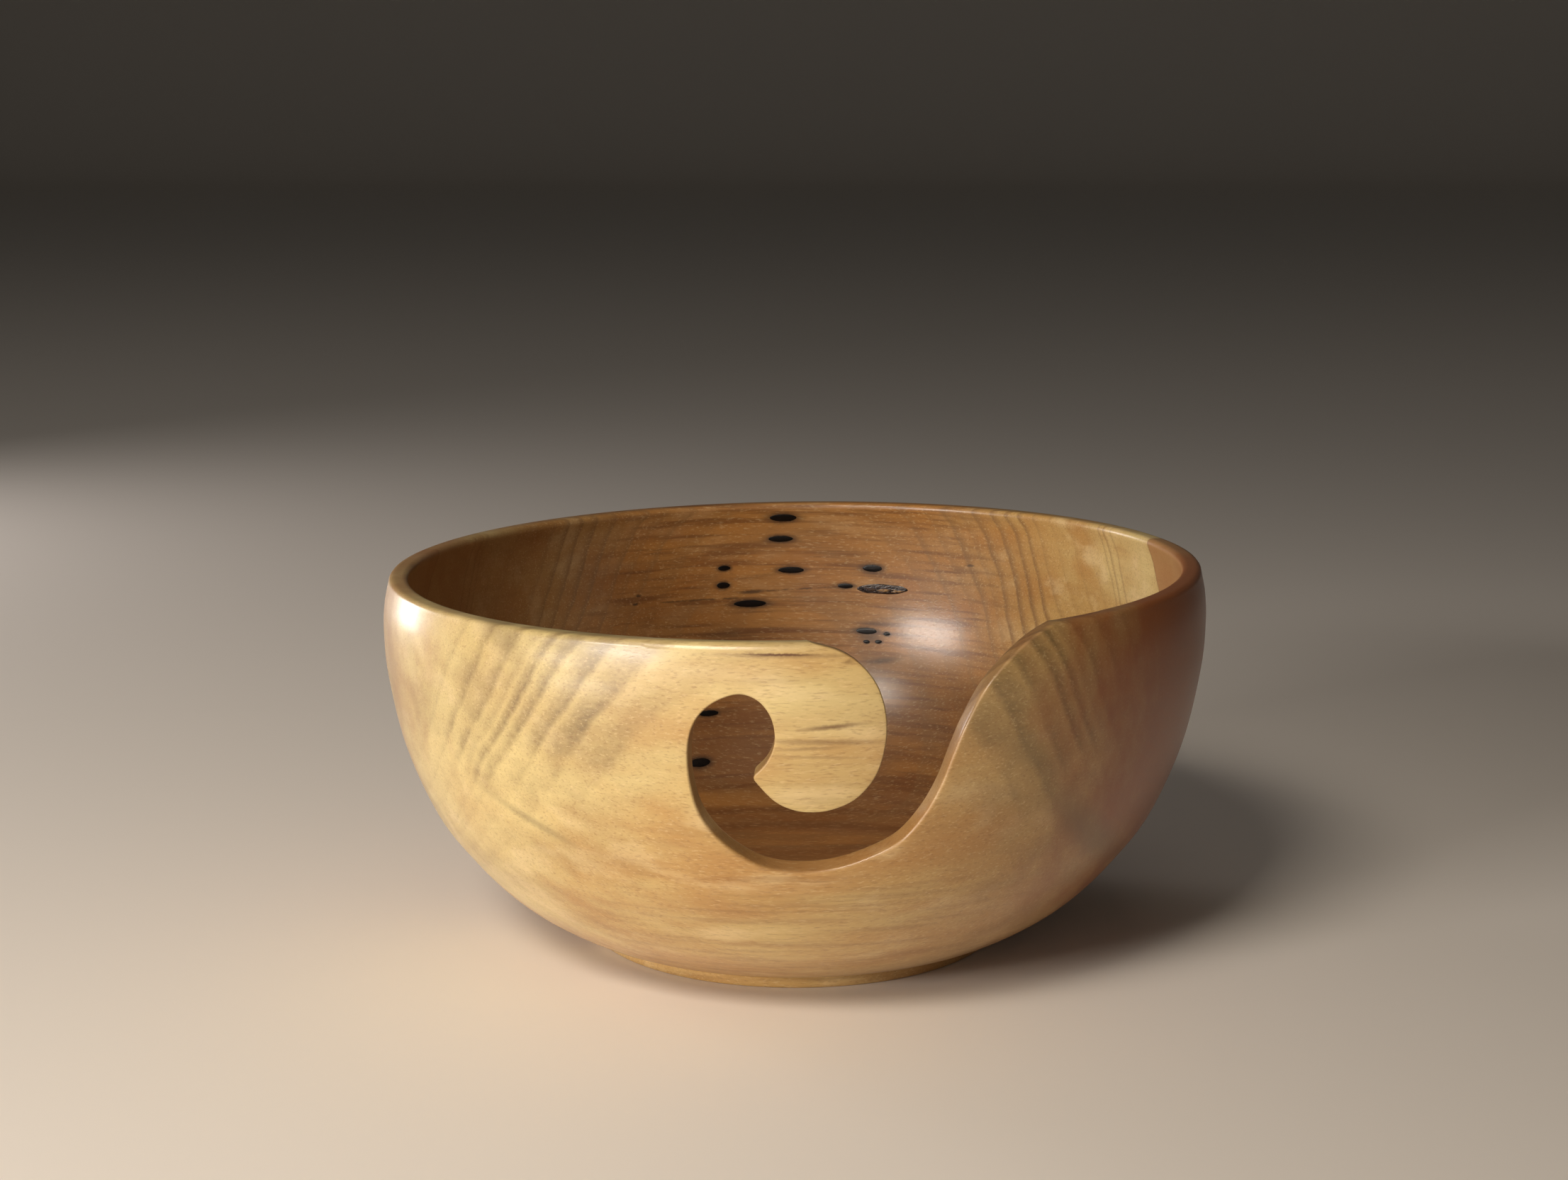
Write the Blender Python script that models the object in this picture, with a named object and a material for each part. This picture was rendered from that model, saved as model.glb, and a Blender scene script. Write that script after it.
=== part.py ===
"""Turned wooden yarn bowl with a curled yarn slot, and the resin that fills the holes in its wood.

Metres, +Z up. The origin is the centre of the foot's underside. The slot faces -Y and the grain
runs along X. Lengths below are in millimetres and are scaled by MM where the meshes are made.
"""
import math

import bmesh
import bpy
from mathutils import Vector
from mathutils.geometry import tessellate_polygon

MM = 0.001

# Driving dimensions of the turned bowl
RIM_HEIGHT = 94.3
WIDEST_RADIUS = 102.5
FOOT_RADIUS = 52.0
FOOT_HEIGHT = 3.2
FOOT_CHAMFER = 0.6
RECESS_RADIUS = 42.0
RECESS_DEPTH = 1.2
FLOOR_HEIGHT = 9.4
RIM_WARP = 0.014        # rise of the rim per millimetre of X, left by the wood as it dried
TURNING_SIDES = 72

# Outer wall from the foot up, as radius and height. The last point is where the lip begins.
OUTER_WALL = (
    (FOOT_RADIUS, FOOT_HEIGHT), (59.3, 5.4), (69.0, 11.0), (76.4, 17.0), (83.6, 25.0),
    (91.2, 35.8), (98.0, 52.8), (101.6, 71.7), (WIDEST_RADIUS, 86.8), (101.6, 93.0),
)
# Inner wall from the lip down to the axis. The wall is about 4.6 thick, and thicker at the rim
# and the floor.
INNER_WALL = (
    (96.2, 93.0), (97.4, 86.8), (97.2, 75.0), (95.1, 60.0), (90.4, 45.0), (83.6, 33.2),
    (75.0, 23.8), (65.6, 17.0), (52.0, 12.0), (30.0, 9.8), (0.0, FLOOR_HEIGHT),
)
LIP_ROUNDING = 1.3

# The slot, unrolled from the outer wall: distance along the widest circle to the right of the
# front, and height. The hook's edge runs from the rim round its head to the tip.
HOOK_EDGE = (
    (-3.0, 96.6), (3.0, 94.7), (9.3, 92.7), (14.0, 89.5), (17.6, 84.5), (19.4, 78.0), (19.3, 71.0),
    (17.4, 64.5), (13.4, 59.6), (8.3, 57.2), (3.4, 56.6), (-1.0, 57.3), (-5.2, 59.6), (-9.8, 64.8),
)
# The other edge runs from the tip round the eye, along the channel's floor and up to the rim.
CHANNEL_EDGE = (
    (-9.8, 64.8), (-6.4, 68.5), (-4.7, 73.2), (-5.4, 78.2), (-8.1, 82.0), (-12.2, 83.5),
    (-17.0, 82.0), (-20.8, 78.9), (-22.9, 74.8), (-23.7, 69.5), (-23.4, 63.0), (-21.9, 56.3),
    (-18.4, 50.6), (-13.4, 46.1), (-7.2, 42.8), (0.5, 41.6), (8.7, 42.2), (17.0, 44.7),
    (24.3, 48.5), (29.3, 54.6), (32.7, 61.4), (35.0, 68.3), (37.7, 75.2), (41.9, 82.4),
    (47.0, 87.5), (52.8, 91.5), (59.0, 94.2), (66.0, 96.6),
)
ABOVE_RIM = 110.0
SLOT_FOCUS = 82.0       # height on the axis that the cut faces point at, square to the wall
SLOT_SPREAD = 0.33      # how far the cut faces turn from square to the wall to parallel to Y
CUTTER_INSIDE = 0.84    # the cutter's two ends, as shares of the way from the focus to the wall
CUTTER_OUTSIDE = 1.15

# Resin in the borer holes, on the inside of the back wall. The tunnels meet the wall at a slant, so
# most are cut to long ovals: X, height, length in line with the grain, and width
BORER_HOLES = (
    (-2.8, 90.0, 7.6, 2.2), (-3.5, 83.7, 7.0, 1.8), (-19.7, 75.6, 3.0, 1.5),
    (-20.0, 70.6, 3.2, 1.8), (-0.6, 74.5, 7.4, 1.8), (22.7, 75.2, 5.0, 2.0),
    (15.0, 69.9, 4.0, 1.4), (-12.3, 65.0, 9.0, 2.0), (21.0, 57.2, 5.4, 1.7),
    (26.8, 56.6, 1.2, 1.0), (24.4, 54.3, 1.2, 1.0), (21.0, 54.2, 1.2, 1.0),
    (-23.9, 35.4, 5.0, 1.5), (-26.0, 23.7, 5.0, 2.0),
)
HOLE_FILL_DEPTH = 3.0
HOLE_SIDES = 16
# Resin in the bark pocket, a long lens in line with the grain
POCKET_X = 25.6
POCKET_HEIGHT = 69.3
POCKET_LENGTH = 14.6
POCKET_WIDTH = 2.8
POCKET_DEPTH = 2.2
POCKET_SIDES = 24
FILL_GAP = 0.3          # between a fill and the wood round it
FILL_SET_BACK = 0.1     # of a fill's face behind the wall's surface
CUTTER_PROUD = 1.5      # of a pocket's cutter in front of the wall's surface


def smooth_curve(points, steps):
    """Points along a Catmull-Rom curve through the given points, with steps on each span."""
    first = (2 * points[0][0] - points[1][0], 2 * points[0][1] - points[1][1])
    last = (2 * points[-1][0] - points[-2][0], 2 * points[-1][1] - points[-2][1])
    knots = [Vector(p) for p in (first, *points, last)]
    curve = []
    for a, b, c, d in zip(knots, knots[1:], knots[2:], knots[3:]):
        for step in range(steps):
            t = step / steps
            curve.append(0.5 * (2 * b + (c - a) * t + (2 * a - 5 * b + 4 * c - d) * t ** 2
                                + (3 * b - a - 3 * c + d) * t ** 3))
    curve.append(knots[-2])
    return [tuple(point) for point in curve]


def radius_at(wall, height):
    """Radius of a wall's profile at a height, read along the straight runs between its points."""
    for (r0, z0), (r1, z1) in zip(wall, wall[1:]):
        if min(z0, z1) <= height <= max(z0, z1):
            return r0 + (r1 - r0) * (height - z0) / (z1 - z0)
    return max(wall, key=lambda point: point[1])[0]


def placed(radius, azimuth, height):
    """A point in metres on the warped bowl. Azimuth 0 is the front, and grows towards +X."""
    x = radius * math.sin(azimuth)
    y = -radius * math.cos(azimuth)
    return Vector((x, y, height + RIM_WARP * x * height / RIM_HEIGHT)) * MM


def new_object(name, mesh_builder, material=None):
    """An object at the origin with the bmesh as its mesh, its faces pointing out."""
    bmesh.ops.recalc_face_normals(mesh_builder, faces=mesh_builder.faces)
    mesh = bpy.data.meshes.new(name)
    mesh_builder.to_mesh(mesh)
    mesh_builder.free()
    if material:
        mesh.materials.append(material)
    part = bpy.data.objects.new(name, mesh)
    bpy.context.scene.collection.objects.link(part)
    return part


def shade_smooth(part, sharp_degrees):
    """Smooth shading that keeps the edges sharper than the given angle."""
    part.data.shade_smooth()
    part.data.set_sharp_from_angle(angle=math.radians(sharp_degrees))


def surface_material(name, colour, roughness):
    """A Principled material of one colour."""
    material = bpy.data.materials.new(name)
    material.use_nodes = True
    shader = material.node_tree.nodes["Principled BSDF"]
    shader.inputs["Base Color"].default_value = (*colour, 1.0)
    shader.inputs["Roughness"].default_value = roughness
    shader.inputs["Metallic"].default_value = 0.0
    return material


def lip():
    """The rounded rim, from the top of the outer wall over to the top of the inner wall."""
    outer_edge, inner_edge = OUTER_WALL[-1], INNER_WALL[0]
    half_turn = math.sqrt(0.5)
    flat_outside = outer_edge[0] - LIP_ROUNDING
    flat_inside = inner_edge[0] + LIP_ROUNDING
    bend = LIP_ROUNDING * half_turn
    return [
        (flat_outside + bend, outer_edge[1] + bend), (flat_outside, RIM_HEIGHT),
        (flat_inside, RIM_HEIGHT), (flat_inside - bend, inner_edge[1] + bend),
    ]


def bowl_profile():
    """The bowl's section from the axis under the foot, up the outside, and down the inside."""
    foot = [
        (0.0, RECESS_DEPTH), (RECESS_RADIUS - RECESS_DEPTH, RECESS_DEPTH), (RECESS_RADIUS, 0.0),
        (FOOT_RADIUS - FOOT_CHAMFER, 0.0), (FOOT_RADIUS, FOOT_CHAMFER),
    ]
    return foot + smooth_curve(OUTER_WALL, 2) + lip() + smooth_curve(INNER_WALL, 2)


def turned_bowl(material):
    """The bowl before its slot is cut, as rings of the section turned about the axis."""
    work = bmesh.new()
    rings = []
    for radius, height in bowl_profile():
        sides = TURNING_SIDES if radius > 0 else 1
        ring = [work.verts.new(placed(radius, math.tau * side / sides, height)) for side in range(sides)]
        rings.append(ring)
    for lower, upper in zip(rings, rings[1:]):
        for side in range(TURNING_SIDES):
            corners = []
            for ring, index in ((lower, side), (lower, side + 1), (upper, side + 1), (upper, side)):
                corner = ring[index % len(ring)]
                if corner not in corners:
                    corners.append(corner)
            work.faces.new(corners)
    return new_object("bowl", work, material)


def slot_cutter():
    """The space of the slot, widened past both faces of the wall along lines to the focus."""
    outline = smooth_curve(HOOK_EDGE, 3) + smooth_curve(CHANNEL_EDGE, 3)[1:]
    outline += [(outline[-1][0], ABOVE_RIM), (outline[0][0], ABOVE_RIM)]
    work = bmesh.new()
    loops = []
    for share in (CUTTER_INSIDE, CUTTER_OUTSIDE):
        turn = (1 + SLOT_SPREAD * (1 / share - 1)) / WIDEST_RADIUS
        loop = []
        for across, height in outline:
            radius = share * radius_at(OUTER_WALL, height)
            raised = SLOT_FOCUS + share * (height - SLOT_FOCUS)
            loop.append(work.verts.new(placed(radius, across * turn, raised)))
        loops.append(loop)
    inside, outside = loops
    for index in range(len(outline)):
        follower = (index + 1) % len(outline)
        work.faces.new((inside[index], inside[follower], outside[follower], outside[index]))
    for triangle in tessellate_polygon([[Vector((a, h, 0.0)) for a, h in outline]]):
        work.faces.new([inside[index] for index in triangle])
        work.faces.new([outside[index] for index in triangle])
    return as_cutter(new_object("slot_cutter", work))


def as_cutter(part):
    """Marks an object as a cutter, which isn't a part."""
    part.hide_render = True
    part.display_type = 'WIRE'
    return part


def add_inlay(work, x, height, length, width, sides, front, depth):
    """An oval plug in the inside of the back wall, from front to depth behind the surface."""
    wall = smooth_curve(INNER_WALL, 2)
    azimuth = math.pi - math.asin(x / radius_at(wall, height))
    caps = []
    for setback in (front, depth):
        rim = []
        for side in range(sides):
            turn = math.tau * side / sides
            level = height + 0.5 * width * math.sin(turn)
            radius = radius_at(wall, level)
            swing = 0.5 * length * math.cos(turn) / radius
            rim.append(work.verts.new(placed(radius + setback, azimuth + swing, level)))
        centre = work.verts.new(placed(radius_at(wall, height) + setback, azimuth, height))
        for side in range(sides):
            work.faces.new((rim[side], rim[(side + 1) % sides], centre))
        caps.append(rim)
    near, far = caps
    for side in range(sides):
        follower = (side + 1) % sides
        work.faces.new((near[side], far[side], far[follower], near[follower]))


def inlay_sizes():
    """Each fill's name and its place, length, width, number of sides and depth."""
    fills = []
    for number, (x, height, length, width) in enumerate(BORER_HOLES, start=1):
        fills.append((f"borer_hole_fill_{number:02d}", x, height, length, width, HOLE_SIDES,
                      HOLE_FILL_DEPTH))
    fills.append(("bark_pocket_fill", POCKET_X, POCKET_HEIGHT, POCKET_LENGTH,
                  POCKET_WIDTH, POCKET_SIDES, POCKET_DEPTH))
    return fills


def resin_fills(material):
    """One solid of resin for each hole, flush with the wood."""
    for name, x, height, length, width, sides, depth in inlay_sizes():
        work = bmesh.new()
        add_inlay(work, x, height, length, width, sides, FILL_SET_BACK, depth)
        shade_smooth(new_object(name, work, material), 40)


def hole_cutter():
    """All the holes in the wood, each wider and deeper than its fill by the gap."""
    work = bmesh.new()
    for _name, x, height, length, width, sides, depth in inlay_sizes():
        add_inlay(work, x, height, length + 2 * FILL_GAP, width + 2 * FILL_GAP, sides,
                  -CUTTER_PROUD, depth + FILL_GAP)
    return as_cutter(new_object("hole_cutter", work))


def cut(part, cutter, name):
    """Takes the cutter's space out of the part."""
    boolean = part.modifiers.new(name, 'BOOLEAN')
    boolean.operation = 'DIFFERENCE'
    boolean.solver = 'EXACT'
    boolean.object = cutter


def main():
    for leftover in list(bpy.data.objects):
        bpy.data.objects.remove(leftover)
    wood = surface_material("oiled_wormy_wood", (0.48, 0.27, 0.11), 0.38)
    resin = surface_material("black_resin", (0.012, 0.009, 0.008), 0.18)
    bowl = turned_bowl(wood)
    shade_smooth(bowl, 35)
    cut(bowl, slot_cutter(), "slot")
    cut(bowl, hole_cutter(), "holes")
    resin_fills(resin)


main()
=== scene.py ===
# %% [markdown]
# # Turned wooden yarn bowl
# A yarn bowl holds a ball of yarn while somebody knits. The yarn runs out through a curled slot in
# the wall, so the ball can roll about inside without getting away. This one is a single piece of
# honey-coloured wood, turned on a lathe and then cut through at the front. Wood borers left
# tunnels in it, and dark resin fills them.
#
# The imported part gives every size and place. It is loaded first, and its box is kept, because the
# finished model must stay inside it. One factor turns the drawing's millimetres into metres, so
# the model follows the part if that is ever made larger.

# %% Load the frame and find the scale
import math
from functools import partial

import bmesh
import bpy
import numpy as np
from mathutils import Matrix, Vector
from mathutils.geometry import delaunay_2d_cdt


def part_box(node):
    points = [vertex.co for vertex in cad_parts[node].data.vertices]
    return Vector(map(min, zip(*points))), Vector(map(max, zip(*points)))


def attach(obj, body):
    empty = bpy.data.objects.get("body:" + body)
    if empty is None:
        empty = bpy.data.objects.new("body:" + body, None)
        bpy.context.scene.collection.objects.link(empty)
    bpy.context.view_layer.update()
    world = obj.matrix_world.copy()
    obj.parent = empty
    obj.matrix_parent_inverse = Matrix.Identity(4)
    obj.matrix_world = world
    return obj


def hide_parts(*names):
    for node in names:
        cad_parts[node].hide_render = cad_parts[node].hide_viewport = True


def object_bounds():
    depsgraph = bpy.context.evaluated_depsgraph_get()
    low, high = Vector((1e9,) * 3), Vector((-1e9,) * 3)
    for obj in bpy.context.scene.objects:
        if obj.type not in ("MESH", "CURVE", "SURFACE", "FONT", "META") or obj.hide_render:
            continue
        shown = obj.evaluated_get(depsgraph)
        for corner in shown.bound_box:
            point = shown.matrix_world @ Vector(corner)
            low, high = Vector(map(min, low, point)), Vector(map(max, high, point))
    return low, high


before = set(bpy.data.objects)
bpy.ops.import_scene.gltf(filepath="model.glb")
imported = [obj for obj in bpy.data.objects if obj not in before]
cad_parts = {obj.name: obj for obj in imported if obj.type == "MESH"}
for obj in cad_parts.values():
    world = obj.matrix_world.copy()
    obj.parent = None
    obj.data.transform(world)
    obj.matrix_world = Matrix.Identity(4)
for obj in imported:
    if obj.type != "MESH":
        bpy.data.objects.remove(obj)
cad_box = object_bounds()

WIDEST_RADIUS = 102.5  # millimetres on the drawing
bowl_low, bowl_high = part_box("bowl")
MM = (bowl_high.y - bowl_low.y) / 2 / WIDEST_RADIUS
print(f"one millimetre of the drawing is {MM:.6f} m in the frame")

# %% [markdown]
# ## The camera
# The camera comes before the bowl, because it decides how fine the mesh has to be. It stands two
# feet in front of the bowl and looks down by a little over ten degrees, so that the far rim shows
# above the near one. A lens of 57 mm on a 36 mm sensor keeps the ellipse of the rim natural.

# %% Place the camera
EYE_OFFSET = -2.64  # millimetres from the bowl's axis, to the left
EYE_DISTANCE = 611.5  # in front of the axis
EYE_HEIGHT = 201.9
LOOKS_DOWN = 0.186  # radians below level
LENS = 56.62
SENSOR = 36.0

lens = bpy.data.cameras.new("studio_camera")
lens.lens = LENS
lens.sensor_width = SENSOR
camera = bpy.data.objects.new("studio_camera", lens)
camera.location = Vector((EYE_OFFSET, -EYE_DISTANCE, EYE_HEIGHT)) * MM
camera.rotation_euler = (math.pi / 2 - LOOKS_DOWN, 0.0, 0.0)
bpy.context.scene.collection.objects.link(camera)
bpy.context.scene.camera = camera
print(f"camera {camera.location.length:.3f} m from the foot")

# %% [markdown]
# ## The section of the wall
# A turned bowl is one section swept round an axis. It could be drawn as a curve object and read
# back, but a smooth curve through a list of points can be measured in the script. It runs from the
# axis out along the hollow underside, up the outside, over the rounded lip, and down the inside
# to the axis again. The distance along it, `along`, is one of the bowl's two surface coordinates.

# %% Draw the section
FOOT_RADIUS = 52.0
FOOT_HEIGHT = 3.2
RECESS_RADIUS = 42.0  # the hollow turned into the foot's underside
RECESS_DEPTH = 1.2
RIM_HEIGHT = 94.3
LIP_ROUNDING = 1.3
EDGE_ROUNDING = 0.5  # where the foot's edges were eased with sandpaper
OUTER_WALL = (
    (52.3, 3.4), (59.3, 5.4), (69.0, 11.0), (76.4, 17.0), (83.6, 25.0), (91.2, 35.8),
    (98.1, 52.8), (101.7, 70.0), (WIDEST_RADIUS, 80.5), (102.2, 87.5), (101.1, 93.0),
)
INNER_WALL = (
    (96.2, 93.0), (97.4, 86.8), (97.2, 75.0), (95.1, 60.0), (90.4, 45.0), (83.6, 33.2),
    (75.0, 23.8), (65.6, 17.0), (52.0, 12.0), (30.0, 9.8), (0.0, 9.4),
)
SECTION_STEP = 0.1


def length_along(points):
    """Distance from the first point to each point of a line."""
    return np.concatenate(([0.0], np.cumsum(np.linalg.norm(np.diff(points, axis=0), axis=1))))


def smooth_curve(points, steps):
    """Points along a Catmull-Rom curve through the given points, with steps on each span."""
    points = np.array(points, float)
    knots = np.vstack((2 * points[0] - points[1], points, 2 * points[-1] - points[-2]))
    t = (np.arange(steps) / steps)[:, None]
    spans = [0.5 * (2 * b + (c - a) * t + (2 * a - 5 * b + 4 * c - d) * t ** 2
                    + (3 * b - a - 3 * c + d) * t ** 3)
             for a, b, c, d in zip(knots, knots[1:], knots[2:], knots[3:])]
    return np.vstack((*spans, points[-1:]))


def rounded_corner(before, corner, after, radius, steps=6):
    """An arc-like curve that cuts a corner off, radius away from it on both sides."""
    before, corner, after = (np.array(p, float) for p in (before, corner, after))
    start = corner + radius * (before - corner) / np.linalg.norm(before - corner)
    end = corner + radius * (after - corner) / np.linalg.norm(after - corner)
    t = np.linspace(0, 1, steps)[:, None]
    return (1 - t) ** 2 * start + 2 * t * (1 - t) * corner + t ** 2 * end


def arc(centre, radius, start_degrees, end_degrees, steps=10):
    """Points on a circle about a centre, from one angle to another."""
    turn = np.radians(np.linspace(start_degrees, end_degrees, steps))
    return np.array(centre) + radius * np.column_stack((np.cos(turn), np.sin(turn)))


underside = [(0.0, RECESS_DEPTH), (RECESS_RADIUS - RECESS_DEPTH, RECESS_DEPTH),
             (RECESS_RADIUS, 0.0), (FOOT_RADIUS, 0.0), (FOOT_RADIUS, FOOT_HEIGHT)]
foot_edges = [rounded_corner(*underside[i - 1:i + 2], EDGE_ROUNDING) for i in (1, 2, 3)]
lip_outer = (OUTER_WALL[-1][0] - LIP_ROUNDING, RIM_HEIGHT - LIP_ROUNDING)
lip_inner = (INNER_WALL[0][0] + LIP_ROUNDING, RIM_HEIGHT - LIP_ROUNDING)
section = np.vstack((
    underside[:1], *foot_edges, smooth_curve(OUTER_WALL, 40),
    arc(lip_outer, LIP_ROUNDING, 0, 90)[1:], arc(lip_inner, LIP_ROUNDING, 90, 180)[:-1],
    smooth_curve(INNER_WALL, 40),
))
distance = length_along(section)
section_length = distance[-1]
along_grid = np.linspace(0, section_length, round(section_length / SECTION_STEP))
section_radius = np.interp(along_grid, distance, section[:, 0])
section_height = np.interp(along_grid, distance, section[:, 1])


def on_section(along):
    """Radius and height at a distance along the section."""
    return np.column_stack((np.interp(along, along_grid, section_radius),
                            np.interp(along, along_grid, section_height)))


print(f"the section is {section_length:.1f} mm long, {len(along_grid)} steps")

# %% [markdown]
# ## The slot
# The maker drills the eye, saws the channel up to the rim, and sands both smooth. A Boolean cut
# would leave knife-sharp edges, without the soft line of light along a sanded one. So the slot is
# worked out as a strip: its outline on the outside, the same outline on the inside, and a rounded
# edge where each one meets the wall.
#
# The outline is drawn on the unrolled outside of the bowl: distance to the right of the front
# along the widest circle, and height. The cut faces point at a focus on the axis, which keeps
# them square to the wall. Each point on the inside is found by walking from the outline towards
# the focus until the section is crossed again.

# %% Draw the outline of the slot
HOOK_EDGE = (
    (-3.0, 96.6), (3.0, 94.7), (9.3, 92.7), (14.0, 89.5), (17.6, 84.5), (19.4, 78.0), (19.3, 71.0),
    (17.4, 64.5), (13.4, 59.6), (8.3, 57.2), (3.4, 56.6), (-1.0, 57.3), (-5.2, 59.6), (-9.8, 64.8),
)
CHANNEL_EDGE = (
    (-9.8, 64.8), (-6.4, 68.5), (-4.7, 73.2), (-5.4, 78.2), (-8.1, 82.0), (-12.2, 83.5),
    (-17.0, 82.0), (-20.8, 78.9), (-22.9, 74.8), (-23.7, 69.5), (-23.4, 63.0), (-21.9, 56.3),
    (-18.4, 50.6), (-13.4, 46.1), (-7.2, 42.8), (0.5, 41.6), (8.7, 42.2), (17.0, 44.7),
    (24.3, 48.5), (29.3, 54.6), (32.7, 61.4), (35.0, 68.3), (37.7, 75.2), (41.9, 82.4),
    (47.0, 87.5), (52.8, 91.5), (59.0, 94.2), (66.0, 96.6),
)
FOCUS_HEIGHT = 82.0
SLOT_SPREAD = 0.33  # how far the cut faces turn towards straight through
TIP_ROUNDING = 1.3  # cut off the hook's tip on both sides
OUTLINE_STEP = 0.5


def resampled(points, step):
    """The same line with points about a step apart."""
    travelled = length_along(points)
    at = np.linspace(0, travelled[-1], max(2, round(travelled[-1] / step) + 1))
    return np.column_stack([np.interp(at, travelled, points[:, i]) for i in (0, 1)])


hook = smooth_curve(HOOK_EDGE, 30)
channel = smooth_curve(CHANNEL_EDGE, 30)
hook_end = length_along(hook[::-1])[::-1] > TIP_ROUNDING
channel_start = length_along(channel) > TIP_ROUNDING
tip = rounded_corner(hook[hook_end][-1], hook[-1], channel[channel_start][0], TIP_ROUNDING, 12)
outline = resampled(np.vstack((hook[hook_end], tip, channel[channel_start])), OUTLINE_STEP)
print(f"the slot's outline has {len(outline)} points")

# %% Find where the cut meets the inside of the wall
LOWEST_CUT = 30.0  # the slot crosses the section above this height
WAY_RANGE = (0.7, 1.2)  # shares of the way from the focus to the outside
END_STEPS = (0.35, 0.15, 0.05, 0.0)  # extra outline points close to the two ends

near_slot = np.where((section_height > LOWEST_CUT) & (section_radius > FOOT_RADIUS))[0]
outside = near_slot[near_slot <= int(np.argmax(section_radius))]


def crossings(across, height):
    """Where the cut through an outline point enters and leaves the wall, as (across, along).

    None means that the cut misses the wall.
    """
    wall = float(np.interp(height, section_height[outside], section_radius[outside]))
    ray = np.array((wall, height - FOCUS_HEIGHT))
    points = np.column_stack((section_radius[near_slot], section_height[near_slot] - FOCUS_HEIGHT))
    side = ray[0] * points[:, 1] - ray[1] * points[:, 0]
    found = []
    for i in np.where(side[:-1] * side[1:] <= 0)[0]:
        share = side[i] / (side[i] - side[i + 1] + 1e-12)
        point = points[i] + share * (points[i + 1] - points[i])
        way = float(point @ ray / (ray @ ray))
        if WAY_RANGE[0] < way < WAY_RANGE[1]:
            turned = across * (1 + SLOT_SPREAD * (1 / way - 1))
            found.append((way, turned, along_grid[near_slot[i]] + share * SECTION_STEP))
    if len(found) < 2:
        return None
    found.sort(reverse=True)
    return np.array((found[0][1:], found[-1][1:]))


def last_hit(hit, miss):
    """The point between two outline points where the cut only just touches the lip."""
    for _ in range(30):
        middle = (hit + miss) / 2
        if crossings(*middle) is None:
            miss = middle
        else:
            hit = middle
    return hit


hits = [i for i, point in enumerate(outline) if crossings(*point) is not None]
first, final = hits[0], hits[-1]
starts = last_hit(outline[first], outline[first - 1])
ends = last_hit(outline[final], outline[final + 1])
head = [starts + (outline[first] - starts) * s for s in END_STEPS[::-1]]
tail = [ends + (outline[final] - ends) * s for s in END_STEPS]
cut_line = np.array(head + list(outline[first:final + 1]) + tail)
entry, leaving = (np.array(side) for side in zip(*(crossings(*point) for point in cut_line)))
for end in (0, -1):
    entry[end] = leaving[end] = (entry[end] + leaving[end]) / 2
print(f"the slot crosses the wall at {len(cut_line)} points")

# %% [markdown]
# ## The unrolled bowl
# Everything is laid flat first, as a board: its X, across, is the distance round the widest
# circle, and its other two coordinates are radius and height. Sanding an edge is plain geometry
# there. The hole in the surface is the slot's outline moved back into the wood by the width of
# the rounding, and a quarter-round leads from it to the cut face. The edges of the channel are
# sanded the most, where the yarn rubs.

# %% Sand the edges of the slot
EDGE_AT_HOOK = 0.4  # width of the sanded edge round the hook and the eye
EDGE_AT_CHANNEL = 0.75  # and along the channel's floor and its right side
CHANNEL_BEGINS = 0.42  # shares of the outline between which it grows
CHANNEL_FULL = 0.55
THIN_SHARE = 0.3  # of the wall, where the cut runs out at the lip
ROUND_STEPS = 5
FACE_STEPS = 4


def board(points):
    """Board coordinates (across, radius, height) of points given as (across, along)."""
    return np.column_stack((points[:, 0], on_section(points[:, 1])))


def into_wood(loop, widths):
    """A closed loop of (across, along) moved to its right, into the wood, by the widths."""
    shrink = on_section(loop[:, 1])[:, 0] / WIDEST_RADIUS
    ahead = np.roll(loop, -1, axis=0) - np.roll(loop, 1, axis=0)
    ahead[:, 0] *= shrink
    ahead /= np.maximum(np.linalg.norm(ahead, axis=1), 1e-9)[:, None]
    return loop + np.column_stack((ahead[:, 1] / shrink, -ahead[:, 0])) * widths[:, None]


share = np.linspace(0, 1, len(cut_line))
grown = np.clip((share - CHANNEL_BEGINS) / (CHANNEL_FULL - CHANNEL_BEGINS), 0, 1)
edge_width = EDGE_AT_HOOK + (EDGE_AT_CHANNEL - EDGE_AT_HOOK) * grown ** 2 * (3 - 2 * grown)
through = board(leaving) - board(entry)
true_cut = through.copy()
true_cut[:, 0] *= board(entry)[:, 1] / WIDEST_RADIUS  # across shrinks with the radius
wall_width = np.linalg.norm(true_cut, axis=1)
edge_width = np.minimum(edge_width, THIN_SHARE * wall_width)
corner_loop = np.vstack((entry, leaving[-2:0:-1]))
hole_loop = into_wood(corner_loop, np.concatenate((edge_width, edge_width[-2:0:-1])))
count = len(cut_line)
hole_outside = hole_loop[:count]
hole_inside = np.vstack((hole_loop[:1], hole_loop[count:][::-1], hole_loop[count - 1:count]))
print(f"wall {wall_width.max():.1f} mm thick, edges sanded {edge_width.max():.1f} mm wide")

# %% Build the strip that lines the slot
quarter = np.linspace(0, math.pi / 2, ROUND_STEPS + 1)
inward = through * (edge_width / np.maximum(wall_width, 1e-9))[:, None]


def rounded_edge(corner, surface_point, towards_face):
    """Rows from the surface, round the sanded edge, to the cut face."""
    return [corner + (1 - math.sin(turn)) * (surface_point - corner)
            + (1 - math.cos(turn)) * towards_face for turn in quarter]


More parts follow.
